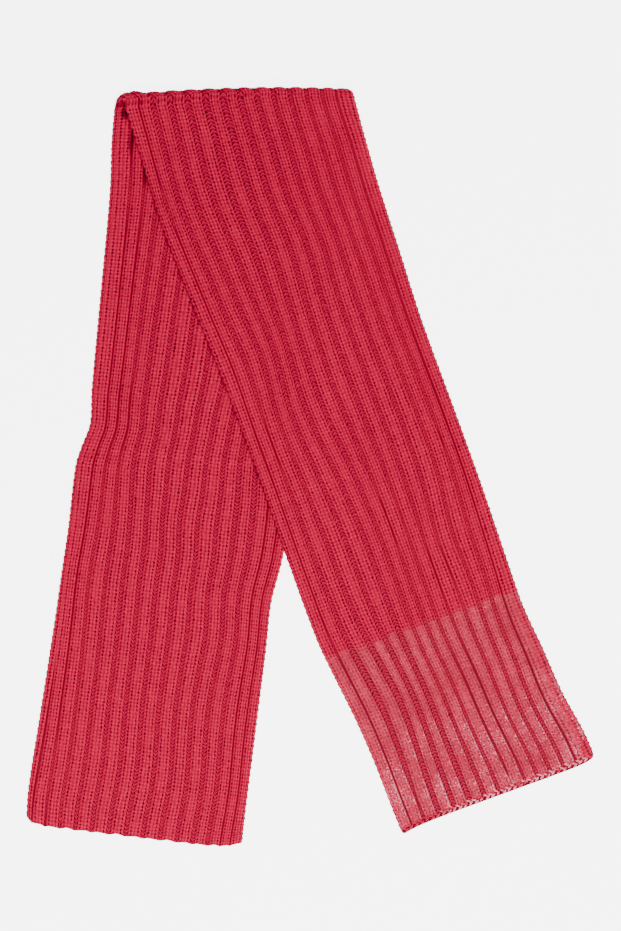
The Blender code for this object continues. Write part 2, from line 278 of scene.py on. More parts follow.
def bow(across):
    """The fold's outward bow, largest right of its middle."""
    return FOLD_BOW * (1.0 - (2.0 * (across - FOLD_BOW_CENTRE)) ** 2)


def in_plan(half, run, across):
    """Points of a half seen from above, with its end's corners drawn in or out."""
    width = course_at(half.course, run).width
    drawn = 0.0
    for corner in half.corners:
        drawn = drawn + corner.pull * np.exp(-np.abs(across - corner.across) * width / corner.reach)
    at = course_at(half.course, run - drawn * ease((run - half.end + CORNER_FADE) / CORNER_FADE))
    turn = np.radians(at.turn)
    sideways = (across - 0.5) * at.width
    bowed = bow(across) * np.exp(-at.run / BOW_REACH)
    x = at.mid_x + np.cos(turn) * sideways - np.sin(turn) * bowed
    y = at.mid_y + np.sin(turn) * sideways + np.cos(turn) * bowed
    return x, y


def columns_of(half):
    """The wale number of each column of the mesh. The outermost two are the selvedges' lower rims."""
    wales = RIB_PITCH * (len(half.recesses) + 1) - RECESS_WALES - half.first_wale
    steps = round(wales * STEPS_PER_WALE)
    wale = half.first_wale + np.arange(steps + 1) / STEPS_PER_WALE
    return np.concatenate(([wale[0]], wale, [wale[-1]]))


def laid_columns(half, run):
    """By row and column: place across, the rib's rise, how far the recess has closed, and the painted shade
    at the selvedges and in tucks.
    """
    wale = columns_of(half)
    width = course_at(half.course, run).width[:, None]
    recess, opening = np.array(half.recesses).T[:, None, :]
    shift = 0.0
    for sway in half.sways:
        along = (run[:, None] - sway.run) / sway.reach
        sideways = (recess - sway.across) / sway.spread
        shift = shift + sway.shift * np.exp(-along * along - sideways * sideways)
    line = recess + shift / width
    change = np.zeros_like(line)
    for gather in half.gathers:
        along = (run[:, None] - gather.run) / gather.reach
        sideways = (recess - gather.across) / gather.spread
        change = change + gather.change * np.exp(-along * along - sideways * sideways)
    opening = opening * np.exp(change)
    covered = 1.0 - ease((opening - COVERED_OPENING) / COVERED_FADE)
    opening = np.maximum(opening, LEAST_OPENING)
    rims = np.full((len(run), 1), SELVEDGE_ROUND) / width
    starts = np.hstack((rims, line + 0.5 * opening / width))
    ends = np.hstack((line - 0.5 * opening / width, 1.0 - rims))
    rib = np.clip(np.floor(wale / RIB_PITCH).astype(int), 0, len(half.recesses))
    within = wale - rib * RIB_PITCH
    lowest = np.where(rib == 0, half.first_wale, 0.0)
    share = (within - lowest) / (RIB_WALES - lowest)
    on_rib = within <= RIB_WALES + 1e-6
    recess_share = (within - RIB_WALES) / RECESS_WALES
    following = np.minimum(rib + 1, len(half.recesses))
    rib_place = starts[:, rib] + (ends[:, rib] - starts[:, rib]) * share
    recess_place = ends[:, rib] + (starts[:, following] - ends[:, rib]) * recess_share
    across = np.where(on_rib, rib_place, recess_place)
    across[:, 0] = 0.0
    across[:, -1] = 1.0
    full = np.minimum(1.0, (ends - starts) * width / FULL_RIB_WIDTH)
    crown = (1.0 - np.abs(2.0 * np.clip(share, 0.0, 1.0) - 1.0) ** RIB_SQUARENESS) ** RIB_SOFTNESS
    closed = 1.0 - ease((opening - SHUT_OPENING) / (FREE_OPENING - SHUT_OPENING))
    before = np.clip(rib - 1, 0, len(half.recesses) - 1)
    after = np.clip(rib, 0, len(half.recesses) - 1)
    level = COVERED_RISE * np.where(share < 0.5, covered[:, before], covered[:, after])
    rise = np.where(on_rib, np.maximum(full[:, rib] * crown, level), COVERED_RISE * covered[:, after])
    shut = np.where(on_rib, 0.0, closed[:, after] - 2.0 * covered[:, after])
    inside = np.minimum(across, 1.0 - across) * width
    rise = rise * (SELVEDGE_LOW + (1.0 - SELVEDGE_LOW) * ease(inside / SELVEDGE_FALL))
    # Painted shade along both selvedges, darkest at the very edge, where the rounded edge turns from the
    # light.
    shade = SELVEDGE_DARK * np.exp(-inside / SELVEDGE_SHADE)
    # Each tuck presses the cloth down and adds painted shade, darkest at its middle.
    for tuck in half.tucks:
        along = (run[:, None] - tuck.run) / tuck.reach
        sideways = (across - tuck.across) / tuck.spread
        pressed = np.exp(-along * along - sideways * sideways)
        rise = rise - tuck.depth / RIB_RISE * pressed
        shade = shade + TUCK_SHADE * tuck.depth * pressed
    return across, rise, shut, shade


def scalloped(across, row, width):
    """Places across with the selvedges' small loops, one in every second row."""
    inside = np.minimum(across, 1.0 - across) * width
    loop = SCALLOP * np.sin(2.0 * math.pi * row / SCALLOP_ROWS) / width
    loop = loop * np.exp(-((inside / SCALLOP_REACH) ** 2))
    return across + np.where(across < 0.5, -loop, loop)


def stitch_relief(half, wale, row):
    """How far the yarn stands out of the cloth's smooth form, by wale number and row number."""
    within = wale % RIB_PITCH
    beside = np.abs((within - STRAND_EDGE) % 1.0 - 0.5)
    along = (row + half.facing * STITCH_SLANT * 2.0 * beside) % 1.0 - 0.5
    pit = np.exp(-((beside / PIT_WIDTH) ** 2) - (along / PIT_LENGTH) ** 2)
    strand = STRAND_RISE * (2.0 * np.sin(math.pi * beside) ** 2 - 1.0)
    aside = np.abs(2.0 * (within - RIB_WALES) / RECESS_WALES - 1.0)
    chevron = np.cos(2.0 * math.pi * (row + half.facing * BACK_SLANT * aside))
    back = BACK_RISE * chevron * np.clip(BACK_REACH - aside, 0.0, 1.0)
    return np.where(within <= RIB_WALES + 1e-6, strand - PIT_DEPTH * pit, back)


def creased(run, crease):
    """How far the packing crease presses the ribs down."""
    return CREASE_DEPTH * (1.0 - ease(np.abs(run - crease) / CREASE_HALF_WIDTH))


def tapered(run, end):
    """The share of a rib's rise that is left near the end."""
    return END_SHARE + (1.0 - END_SHARE) * ease((end - run) / END_TAPER)


FINE = (12, 6)
ROW_STEPS = FINE[1]
LOWER_BLOCKS = 24
UPPER_BLOCKS = 23
NET_FACE = ((0.02, 0.15), (0.96, 0.83))
NET_BACK = ((0.02, 0.01), (0.96, 0.11))
NET_RIM = 0.012


def make_sheet(name, coarse, fine, outer, inner, wale, row, shut, shade, material, node):
    """
    One piece of knitted cloth, a closed wall: a grid is extruded, its outer side is divided down to the
    stitches, and both sides are placed. coarse is (columns, rows) and fine the steps in each. outer and inner
    are (x, y, z) arrays by row and column.
    """
    bm = bmesh.new()
    bmesh.ops.create_grid(bm, x_segments=coarse[0], y_segments=coarse[1], size=0.5)
    made = bmesh.ops.extrude_face_region(bm, geom=bm.faces[:])["geom"]
    lifted = [item for item in made if isinstance(item, bmesh.types.BMVert)]
    bmesh.ops.translate(bm, verts=lifted, vec=(0.0, 0.0, 1.0))
    bmesh.ops.recalc_face_normals(bm, faces=bm.faces[:])
    for axis in (0, 1):
        cut = [edge for edge in bm.edges
               if min(vert.co.z for vert in edge.verts) > 0.5
               and abs(edge.verts[0].co[axis] - edge.verts[1].co[axis]) > 1e-6]
        bmesh.ops.subdivide_edges(bm, edges=cut, cuts=fine[axis] - 1, use_grid_fill=True)
    for edge in bm.edges:
        heights = {round(corner.co.z) for face in edge.link_faces for corner in face.verts}
        edge.smooth = len(heights) == 1
    mesh = bpy.data.meshes.new(name)
    bm.to_mesh(mesh)
    bm.free()
    flat = np.empty(len(mesh.vertices) * 3, np.float32)
    mesh.vertices.foreach_get("co", flat)
    flat = flat.reshape(-1, 3).astype(float)
    columns = coarse[0] * fine[0]
    rows = coarse[1] * fine[1]
    column = np.rint((flat[:, 0] + 0.5) * columns).astype(int)
    line = np.rint((0.5 - flat[:, 1]) * rows).astype(int)
    is_outer = flat[:, 2] > 0.5
    placed = np.empty((len(flat), 3))
    for axis in range(3):
        placed[:, axis] = np.where(is_outer, outer[axis][line, column], inner[axis][line, column])
    placed[:, 0] -= MIDDLE_X
    placed[:, 1] -= MIDDLE_Y
    mesh.vertices.foreach_set("co", (placed * MILLIMETRE).astype(np.float32).ravel())

    corner_vert = np.empty(len(mesh.loops), np.int32)
    mesh.loops.foreach_get("vertex_index", corner_vert)
    counts = np.empty(len(mesh.polygons), np.int32)
    mesh.polygons.foreach_get("loop_total", counts)
    face_of = np.repeat(np.arange(len(counts)), counts)
    outer_share = np.bincount(face_of, is_outer[corner_vert]) / counts
    stitches = mesh.uv_layers.new(name="stitches")
    both = np.stack((wale[line, column], row[line, column]), axis=1)[corner_vert]
    stitches.uv.foreach_set("vector", both.astype(np.float32).ravel())
    net = mesh.uv_layers.new(name="OFBake")
    place = flat[corner_vert, :2] + 0.5
    on_face = outer_share[face_of] > 0.999
    on_back = outer_share[face_of] < 0.001
    face_net = np.array(NET_FACE[0]) + place * np.array(NET_FACE[1])
    back_net = np.array(NET_BACK[0]) + place * np.array(NET_BACK[1])
    outwards = np.where(np.abs(place - 0.5) > 0.4999, np.sign(place - 0.5), 0.0) * NET_RIM
    side_net = face_net + np.where(is_outer[corner_vert][:, None], 0.0, outwards)
    laid = np.where(on_face[:, None], face_net, np.where(on_back[:, None], back_net, side_net))
    net.uv.foreach_set("vector", laid.astype(np.float32).ravel())
    mesh.uv_layers.active = stitches
    stitches.active_render = True
    # Each recess's closing and the painted shade go on as point attributes.
    for label, values in (("closing", shut), ("shade", shade)):
        layer = mesh.attributes.new(label, "FLOAT", "POINT")
        layer.data.foreach_set("value", values[line, column].astype(np.float32))
    mesh.shade_smooth()
    mesh.materials.append(material)
    mesh.update()
    piece = bpy.data.objects.new(name, mesh)
    bpy.context.scene.collection.objects.link(piece)
    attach(piece, "root")
    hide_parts(node)
    return piece


class Signal:
    """A value on its way through a material's nodes. Arithmetic on it adds Math nodes."""

    def __init__(self, tree, socket=None):
        self.tree = tree
        self.socket = socket

    def node(self, kind, settings=None, sockets=None, output=0):
        """A node of that kind, with its settings and then its sockets' values or links."""
        node = self.tree.nodes.new(kind)
        for key, value in (settings or {}).items():
            setattr(node, key, value)
        for key, value in (sockets or {}).items():
            if isinstance(value, Signal):
                self.tree.links.new(value.socket, node.inputs[key])
            else:
                node.inputs[key].default_value = value
        return Signal(self.tree, node.outputs[output])

    def maths(self, operation, *values):
        return self.node("ShaderNodeMath", {"operation": operation}, dict(enumerate(values)))

    def __add__(self, other):
        return self.maths("ADD", self, other)

    def __radd__(self, other):
        return self.maths("ADD", other, self)

    def __sub__(self, other):
        return self.maths("SUBTRACT", self, other)

    def __rsub__(self, other):
        return self.maths("SUBTRACT", other, self)

    def __mul__(self, other):
        return self.maths("MULTIPLY", self, other)

    def __rmul__(self, other):
        return self.maths("MULTIPLY", other, self)

    def __truediv__(self, other):
        return self.maths("DIVIDE", self, other)

    def __mod__(self, other):
        return self.maths("FLOORED_MODULO", self, other)

    def __abs__(self):
        return self.maths("ABSOLUTE", self)

    def __lt__(self, other):
        return self.maths("LESS_THAN", self, other)

    def __gt__(self, other):
        return self.maths("GREATER_THAN", self, other)

    def soft(self, low, high):
        """0 at low, 1 at high, with a soft step between them."""
        ends = {"Value": self, "From Min": low, "From Max": high}
        return self.node("ShaderNodeMapRange", {"interpolation_type": "SMOOTHSTEP"}, ends)

    def blend(self, below, above):
        """The colour below where this is 0 and the colour above where it is 1."""
        return self.node("ShaderNodeMix", {"data_type": "RGBA"}, {0: self, 6: below, 7: above}, output=2)

    def noise(self, place, scale, detail=2.0, roughness=0.5):
        """A soft, uneven pattern from 0 to 1."""
        sockets = {"Vector": place, "Scale": scale, "Detail": detail, "Roughness": roughness}
        return self.node("ShaderNodeTexNoise", None, sockets)


YARN_LIGHT = (0.68, 0.002, 0.056, 1.0)
YARN_MIDDLE = (0.54, 0.001, 0.043, 1.0)
# Painted shade for the pits and links between stitches.
YARN_PIT_SHADE = (0.09, 0.0005, 0.007, 1.0)
RECESS_LIGHT = (0.56, 0.002, 0.050, 1.0)
# Painted shade on an open recess's floor, painted shadow at its sides, and deeper painted shade in a nearly
# shut recess.
RECESS_GROUND_SHADE = (0.27, 0.001, 0.022, 1.0)
RECESS_SIDE_SHADOW = (0.05, 0.0005, 0.005, 1.0)
SHUT_RECESS_SHADOW = (0.15, 0.001, 0.010, 1.0)
# The tint of painted shade, and below it the near-black painted shadow of deep tucks.
SHADED = (0.50, 0.40, 0.50, 1.0)
HOLLOW_SHADOW = (0.03, 0.0003, 0.003, 1.0)
FIBRE_SCALE = 850.0
HANDLING_SCALE = 45.0
UNEVEN_SCALE = 0.9
WALE_DRIFT = 0.55
WALE_DRIFT_SCALE = 230.0
ROW_DRIFT = 0.9
ROW_DRIFT_SCALE = 290.0
DOT_WIDTH = 0.27
DOT_LENGTH = 0.38
RIB_MIDDLE = 0.5 * RIB_WALES


def knit_colour(tree, facing, recess=RECESS_GROUND_SHADE):
    """The yarn's colour over stitches and recesses, with painted shade in pits, in recesses and wherever the
    shade attribute asks for it, and what a coating on it needs.
    """
    start = Signal(tree)
    stitches = start.node("ShaderNodeUVMap", {"uv_map": "stitches"})
    wale = start.node("ShaderNodeSeparateXYZ", None, {0: stitches}, output=0)
    row = start.node("ShaderNodeSeparateXYZ", None, {0: stitches}, output=1)
    place = start.node("ShaderNodeTexCoord", output=3)
    shut = start.node("ShaderNodeAttribute", {"attribute_name": "closing"}, output=2)
    shade = start.node("ShaderNodeAttribute", {"attribute_name": "shade"}, output=2)
    fibres = start.noise(place, FIBRE_SCALE, 1.0, 0.6)
    handling = start.noise(place, HANDLING_SCALE, 3.0, 0.55)
    uneven = start.noise(stitches, UNEVEN_SCALE, 1.0, 0.5).soft(0.30, 0.70)
    stitch = start.node("ShaderNodeVectorMath", {"operation": "FLOOR"}, {0: stitches})
    chance = start.node("ShaderNodeTexWhiteNoise", {"noise_dimensions": "2D"}, {"Vector": stitch})

    # A rib: pale strands, with painted shade in the pit between each stitch and the next and along the links
    # from stitch to stitch.
    within = wale % RIB_PITCH
    on_rib = within < RIB_WALES
    drifted_wale = within + (start.noise(place, WALE_DRIFT_SCALE, 1.0, 0.5) - 0.5) * WALE_DRIFT
    drifted_row = row + (start.noise(place, ROW_DRIFT_SCALE, 1.0, 0.5) - 0.5) * ROW_DRIFT
    beside = abs((drifted_wale - STRAND_EDGE) % 1.0 - 0.5)
    along = abs((drifted_row + beside * (2.0 * facing * STITCH_SLANT)) % 1.0 - 0.5)
    far = (beside / DOT_WIDTH) * (beside / DOT_WIDTH) + (along / DOT_LENGTH) * (along / DOT_LENGTH)
    outer_column = abs(within - RIB_MIDDLE).soft(0.45, 0.65)
    kept = handling.soft(0.72, 0.40) * 0.4 + uneven * 0.3 + chance * 0.3 + 0.35
    dot = far.soft(1.20, 0.35) * (outer_column * 0.40 + 0.60) * kept
    lean = abs((drifted_row + beside * (facing * STITCH_LEAN)) % 1.0 - 0.5)
    link = lean.soft(0.26, 0.44) * (uneven * 0.5 + 0.4)
    strand = beside.soft(0.08, 0.40)
    yarn = strand * 0.3 + fibres * 1.7 + uneven * 0.4 + chance * 0.7 - 1.05
    yarn = (link * 0.66).blend(yarn.blend(YARN_MIDDLE, YARN_LIGHT), YARN_PIT_SHADE)
    yarn = dot.blend(yarn, YARN_PIT_SHADE)

    # A recess: the chevrons of the knit's back on a ground of painted shade, with spots of painted shadow at
    # its sides between the chevrons, and deeper painted shade where the ribs close over them.
    aside = abs((drifted_wale - RIB_WALES) * (2.0 / RECESS_WALES) - 1.0)
    bend = abs((drifted_row + aside * (facing * BACK_SLANT) + 0.5) % 1.0 - 0.5)
    band = bend.soft(0.26, 0.10) * aside.soft(1.0, 0.70)
    spot = bend.soft(0.20, 0.38) * aside.soft(0.25, 0.60)
    back = (spot * (fibres * 0.8 + 0.5)).blend(recess, RECESS_SIDE_SHADOW)
    back = (band * (fibres * 1.2 + 0.25)).blend(back, RECESS_LIGHT)
    back = shut.soft(0.35, 1.0).blend(back, SHUT_RECESS_SHADOW)
    back = shut.soft(-0.2, -0.8).blend(back, YARN_MIDDLE)

    colour = on_rib.blend(back, yarn)
    # Painted shade from the shade attribute: a darker tint at selvedges, under the fold, on the hem and in
    # tucks, going near-black in deep tucks.
    multiply = {"data_type": "RGBA", "blend_type": "MULTIPLY"}
    darker = colour.node("ShaderNodeMix", multiply, {0: 1.0, 6: colour, 7: SHADED}, output=2)
    colour = shade.soft(0.0, 1.0).blend(colour, darker)
    return shade.soft(0.9, 2.2).blend(colour, HOLLOW_SHADOW), on_rib, place, wale, row, shade


def yarn_material(name, facing):
    """Soft combed yarn: matt, with a faint sheen of loose fibres."""
    material = bpy.data.materials.new(name)
    material.use_nodes = True
    tree = material.node_tree
    shader = tree.nodes["Principled BSDF"]
    colour = knit_colour(tree, facing)[0]
    tree.links.new(colour.socket, shader.inputs["Base Color"])
    shader.inputs["Roughness"].default_value = 0.85
    shader.inputs["Specular IOR Level"].default_value = 0.06
    shader.inputs["Sheen Weight"].default_value = 0.04
    shader.inputs["Sheen Roughness"].default_value = 0.5
    shader.inputs["Sheen Tint"].default_value = (1.0, 0.10, 0.20, 1.0)
    return material


lower_yarn = yarn_material("lower_yarn", LOWER.facing)


def lower_stretch(name, start, end, coarse_rows, first_row):
    """A stretch of the lower half between two runs, flat underneath."""
    rows = coarse_rows * ROW_STEPS
    run = np.linspace(start, end, rows + 1)
    across, rise, shut, shade = laid_columns(LOWER, run)
    wale = np.broadcast_to(columns_of(LOWER)[None, :], across.shape)
    row = np.broadcast_to(((first_row + np.arange(rows + 1)) / STEPS_PER_ROW)[:, None], across.shape)
    runs = np.broadcast_to(run[:, None], across.shape)
    width = course_at(LOWER.course, run).width[:, None]
    point = END_POINT * np.cos(2.0 * math.pi * (wale - RIB_WALES - 0.5 * RECESS_WALES) / RIB_PITCH)
    pointed = runs + point * ease((runs - LOWER.end + END_POINT_REACH) / END_POINT_REACH)
    x, y = in_plan(LOWER, pointed, scalloped(across, row, width))
    wall = np.full(across.shape, WALL)
    wall[:, (1, -2)] = SELVEDGE_WALL
    height = wall + RIB_RISE * rise * tapered(runs, LOWER.end) - creased(runs, LOWER_CREASE) * rise
    height = height + stitch_relief(LOWER, wale, row) * np.clip(height - 1.0, 0.0, 1.0)
    height[:, (0, -1)] = SELVEDGE_RIM
    piece = make_sheet(
        name, (LOWER_BLOCKS, coarse_rows), FINE, (x, y, height), (x, y, np.zeros_like(x)), wale, row, shut,
        shade, lower_yarn, "lower_stretch",
    )
    return piece, rows


lower_knit_high, lower_rows = lower_stretch("lower_knit_high", STRETCH_START, LOWER_CREASE, 50, 0)
lower_knit_low, lower_rows = lower_stretch("lower_knit_low", LOWER_CREASE, LOWER.end, 52, lower_rows)

# The fold: the cloth rolls over itself round a narrow hollow, with the ribs of the upper half's face outside.
# It is the same knitting, bent by hand and never pressed, so its edge keeps a soft scallop at each rib.
FOLD_HOLLOW = 1.9
FOLD_RADIUS = FOLD_HOLLOW + THICKNESS
FOLD_HEIGHT = 2.0 * FOLD_RADIUS
FOLD_LEFT = (-207.5, 400.5)
FOLD_RIGHT = (46.5, 404.5)
FOLD_LEAD = 0.045
RIBS_START = 35.0
RIBS_FULL = 90.0
FOLD_SHADE_START = 80.0
FOLD_STRETCH = 0.45
FOLD_STRETCH_ANGLE = 95.0
FOLD_STRETCH_REACH = 45.0
FOLD_END_DRAW = 5.0
FOLD_END_REACH = 0.016
FOLD_RIGHT_SHARE = 0.6
FOLD_BULGE = 2.6
FOLD_BULGE_CENTRE = 0.065
FOLD_BULGE_REACH = 0.045
LEG_STEPS = 3
ROLL_STEPS = 18
FOLD_BLOCKS = 4
UPPER_FIRST_ROW = 400

UPPER = Half(
    course=[
        Course(0, -77.0, 399.0, 2.0, 244.5),
        Course(57, -61.5, 344.5, 6.0, 240.0),
        Course(129, -40.5, 275.0, 11.0, 235.5),
        Course(208, -14.0, 201.5, 16.0, 228.5),
        Course(290, 14.0, 124.0, 19.0, 222.0),
        Course(393, 49.5, 27.5, 20.0, 221.5),
        Course(478, 78.0, -53.0, 20.0, 222.5),
        Course(575, 110.0, -144.0, 20.0, 220.5),
        Course(620, 127.0, -185.5, 20.0, 216.0),
        Course(669, 148.5, -230.0, 20.5, 214.5),
        Course(720, 169.0, -276.5, 20.5, 214.5),
        Course(768, 189.5, -320.5, 20.5, 221.0),
        Course(801, 202.0, -350.5, 20.0, 222.0),
    ],
    recesses=[
        Recess(0.058, 1.6),
        Recess(0.122, 5.6),
        Recess(0.198, 5.8),
        Recess(0.276, 5.8),
        Recess(0.355, 6.2),
        Recess(0.432, 6.2),
        Recess(0.508, 6.0),
        Recess(0.583, 6.0),
        Recess(0.657, 5.4),
        Recess(0.730, 5.4),
        Recess(0.802, 4.6),
        Recess(0.871, 4.2),
        Recess(0.932, 2.9),
    ],
    sways=[
        Sway(15, 0.88, -2.5, 35, 0.60),
        Sway(90, 0.22, -4.5, 55, 0.19),
        Sway(170, 0.56, 3.5, 45, 0.20),
        Sway(275, 0.23, 6.0, 50, 0.16),
        Sway(330, 0.36, -9.5, 100, 0.19),
        Sway(515, 0.78, -6.0, 50, 0.10),
        Sway(515, 0.83, 6.5, 260, 0.12),
        Sway(530, 0.38, 7.0, 195, 0.15),
        Sway(660, 0.20, 8.0, 85, 0.11),
        Sway(720, 0.84, -10.0, 170, 0.18),
    ],
    gathers=[
        Gather(40, 0.40, 0.22, 130, 0.30),
        Gather(108, 0.058, 1.05, 24, 0.03),
        Gather(365, 0.140, -1.10, 42, 0.05),
        Gather(370, 0.058, 0.50, 30, 0.03),
        Gather(420, 0.871, -0.60, 16, 0.03),
        Gather(482, 0.530, -1.20, 42, 0.07),
        Gather(548, 0.690, -0.95, 38, 0.07),
        Gather(560, 0.932, -0.60, 190, 0.03),
        Gather(590, 0.058, 0.60, 30, 0.03),
        Gather(640, 0.150, 0.35, 45, 0.06),
        Gather(650, 0.450, -0.55, 90, 0.05),
        Gather(705, 0.620, -1.05, 120, 0.14),
        Gather(775, 0.122, -0.80, 22, 0.03),
        Gather(794, 0.583, -2.20, 14, 0.02),
    ],
    # Two small nicks across foiled ribs: shallow dents with painted shade.
    tucks=[
        Tuck(701, 0.441, 1.1, 1.3, 0.012),
        Tuck(712, 0.127, 0.9, 1.3, 0.010),
    ],
    corners=[Corner(0.0, -4.5, 16.0), Corner(1.0, 4.5, 9.0)],
    end=801.0,
    first_wale=0.0,
    facing=-1.0,
)
upper_yarn = yarn_material("upper_yarn", UPPER.facing)


def fold_place(across, angle, radius, leg):
    """Points of the roll at an angle round it, or of the legs that run from it to the two halves."""
    left = np.array(FOLD_LEFT)
    along = np.array(FOLD_RIGHT) - left
    out = np.array((-along[1], along[0])) / np.hypot(*along)
    lead = FOLD_LEAD * ease((angle - 90.0) / 90.0)
    share = lead + (1.0 - lead) * across
    turn = np.radians(angle)
    right_end = FOLD_RIGHT_SHARE * np.exp((across - 1.0) / FOLD_END_REACH)
    drawn = FOLD_END_DRAW * (np.exp(-across / FOLD_END_REACH) + right_end)
    bulge = FOLD_BULGE * np.exp(-(((across - FOLD_BULGE_CENTRE) / FOLD_BULGE_REACH) ** 2))
    outward = (bulge - drawn) * np.clip(np.sin(turn), 0.0, 1.0)
    reach = bow(across) - FOLD_RADIUS + radius * np.sin(turn) + outward
    roll = (left[0] + along[0] * share + out[0] * reach, left[1] + along[1] * share + out[1] * reach)
    start = np.full_like(across, STRETCH_START)
    below = in_plan(LOWER, start, across)
    above = in_plan(UPPER, start, across)
    x, y = (
        np.where(leg > 0.0, roll[axis] + (above[axis] - roll[axis]) * leg,
                 roll[axis] + (below[axis] - roll[axis]) * -leg)
        for axis in (0, 1)
    )
    return x, y, FOLD_RADIUS - radius * np.cos(turn)


fold_rows = 2 * LEG_STEPS + ROLL_STEPS
fold_leg = np.concatenate((
    np.linspace(1.0, 0.0, LEG_STEPS + 1), np.zeros(ROLL_STEPS - 1), np.linspace(0.0, -1.0, LEG_STEPS + 1),
))
fold_angle = np.concatenate((
    np.full(LEG_STEPS, 180.0), np.linspace(180.0, 0.0, ROLL_STEPS + 1), np.zeros(LEG_STEPS),
))
fold_across, fold_rise, fold_shut, fold_shade = laid_columns(UPPER, np.full(fold_rows + 1, STRETCH_START))
fold_leg = np.broadcast_to(fold_leg[:, None], fold_across.shape)
fold_angle = np.broadcast_to(fold_angle[:, None], fold_across.shape)
fold_wale = np.broadcast_to(columns_of(UPPER)[None, :], fold_across.shape)
fold_row = UPPER_FIRST_ROW - np.arange(fold_rows + 1) / STEPS_PER_ROW
fold_row = np.broadcast_to(fold_row[:, None], fold_across.shape)
# Painted shade on the roll: none on its top, growing as the face turns over, and full from just past its
# outer line down under it.
turned_away = ease((fold_angle - FOLD_SHADE_START) / (180.0 - FOLD_SHADE_START))
fold_shade = np.maximum(fold_shade, 1.0 - turned_away)
standing = ease((fold_angle - RIBS_START) / (RIBS_FULL - RIBS_START))
fold_flat = 1.0 - FOLD_STRETCH * np.exp(-(((fold_angle - FOLD_STRETCH_ANGLE) / FOLD_STRETCH_REACH) ** 2))
fold_wall = np.full(fold_across.shape, WALL)
fold_wall[:, (1, -2)] = SELVEDGE_WALL
fold_thick = fold_wall + RIB_RISE * (1.0 - fold_flat * (1.0 - fold_rise))
fold_thick = fold_thick + stitch_relief(UPPER, fold_wale, fold_row)
fold_thick[:, (0, -1)] = SELVEDGE_RIM
fold_thick = THICKNESS - standing * (THICKNESS - fold_thick)
fold_knit = make_sheet(
    "fold_knit", (UPPER_BLOCKS, FOLD_BLOCKS), FINE,
    fold_place(fold_across, fold_angle, FOLD_HOLLOW + fold_thick, fold_leg),
    fold_place(fold_across, fold_angle, np.full_like(fold_across, FOLD_HOLLOW), fold_leg), fold_wale,
    fold_row, fold_shut, fold_shade, upper_yarn, "fold_stretch",
)


# The upper half: the other 0.8 m of the band, which shows the rib's other face. It comes off the roll, lies
# over the lower half and drops on to the board beyond its edge.
REST_HEIGHT = 4.7
REST_MARGIN = 9.0
REST_REACH = 32.0
LIFT = FOLD_HEIGHT - THICKNESS - REST_HEIGHT
LIFT_REACH = 48.0
UPPER_CREASE = 429.0
FOIL_START = 598.0
BIND_OFF_WIDTH = 4.6
FOIL_END = UPPER.end - BIND_OFF_WIDTH
edge_run = np.linspace(0.0, LOWER.end, 161)
edge_x, edge_y = in_plan(LOWER, edge_run, np.ones_like(edge_run))


def resting(x, y, run):
    """The height of the upper half's underside over a place on the board."""
    past = x - np.interp(y, edge_y[::-1], edge_x[::-1], left=-1000.0, right=edge_x[0])
    rest = REST_HEIGHT * (1.0 - ease((past - REST_MARGIN) / REST_REACH))
    return rest + LIFT * (1.0 - ease((run - STRETCH_START) / LIFT_REACH))


def upper_stretch(name, start, end, coarse_rows, first_row, material, node):
    """A stretch of the upper half between two runs."""
    rows = coarse_rows * ROW_STEPS
    run = np.linspace(start, end, rows + 1)
    across, rise, shut, shade = laid_columns(UPPER, run)
    wale = np.broadcast_to(columns_of(UPPER)[None, :], across.shape)
    row = np.broadcast_to(((first_row + np.arange(rows + 1)) / STEPS_PER_ROW)[:, None], across.shape)
    runs = np.broadcast_to(run[:, None], across.shape)
    width = course_at(UPPER.course, run).width[:, None]
    x, y = in_plan(UPPER, runs, scalloped(across, row, width))
    under = resting(x, y, runs)
    wall = np.full(across.shape, WALL)
    wall[:, (1, -2)] = SELVEDGE_WALL
    height = wall + RIB_RISE * rise * tapered(runs, FOIL_END) - creased(runs, UPPER_CREASE) * rise
    height = height + stitch_relief(UPPER, wale, row)
    height[:, (0, -1)] = SELVEDGE_RIM
    piece = make_sheet(
        name, (UPPER_BLOCKS, coarse_rows), FINE, (x, y, under + height), (x, y, under), wale, row, shut,
        shade, material, node,
    )
    return piece, first_row + rows


upper_knit_high, upper_rows = upper_stretch(
    "upper_knit_high", STRETCH_START, UPPER_CREASE, 55, UPPER_FIRST_ROW * STEPS_PER_ROW, upper_yarn,
    "upper_stretch",
)
upper_knit_low, upper_rows = upper_stretch(
    "upper_knit_low", UPPER_CREASE, FOIL_START, 22, upper_rows, upper_yarn, "upper_stretch",
)


# The coated end: the same rib, with a thin pink foil pressed on to the tops of its ribs after knitting. The
# foil skips the recesses and thins towards the selvedges; its glints are painted as bright flecks along the
# ribs' edges.
# Painted shade on the foil in the stitch pits and at the ribs' edges.
FOIL_SHADE = (0.20, 0.004, 0.022, 1.0)
FOIL_DUSKY = (0.42, 0.009, 0.040, 1.0)
FOIL_PINK = (0.69, 0.028, 0.078, 1.0)
# Painted highlight: the pale colour of the foil's glints.
FOIL_GLINT = (0.95, 0.24, 0.32, 1.0)
# Painted shade on the floor of the bare recesses between foiled ribs.
UNFOILED_RECESS_SHADE = (0.27, 0.001, 0.020, 1.0)
LAST_WALE = 68.5
FOIL_ROWS = 26 * ROW_STEPS
FOIL_STAGGER = 1.1
FLECK_SCALE = 640.0
PATCH_SCALE = 30.0
MOTTLE_SCALE = 430.0
# Rows after the foil's start over which its painted highlights grow more common.
GLINT_FROM = 18.0
GLINT_TO = 38.0
BARE_LINE = 1.15


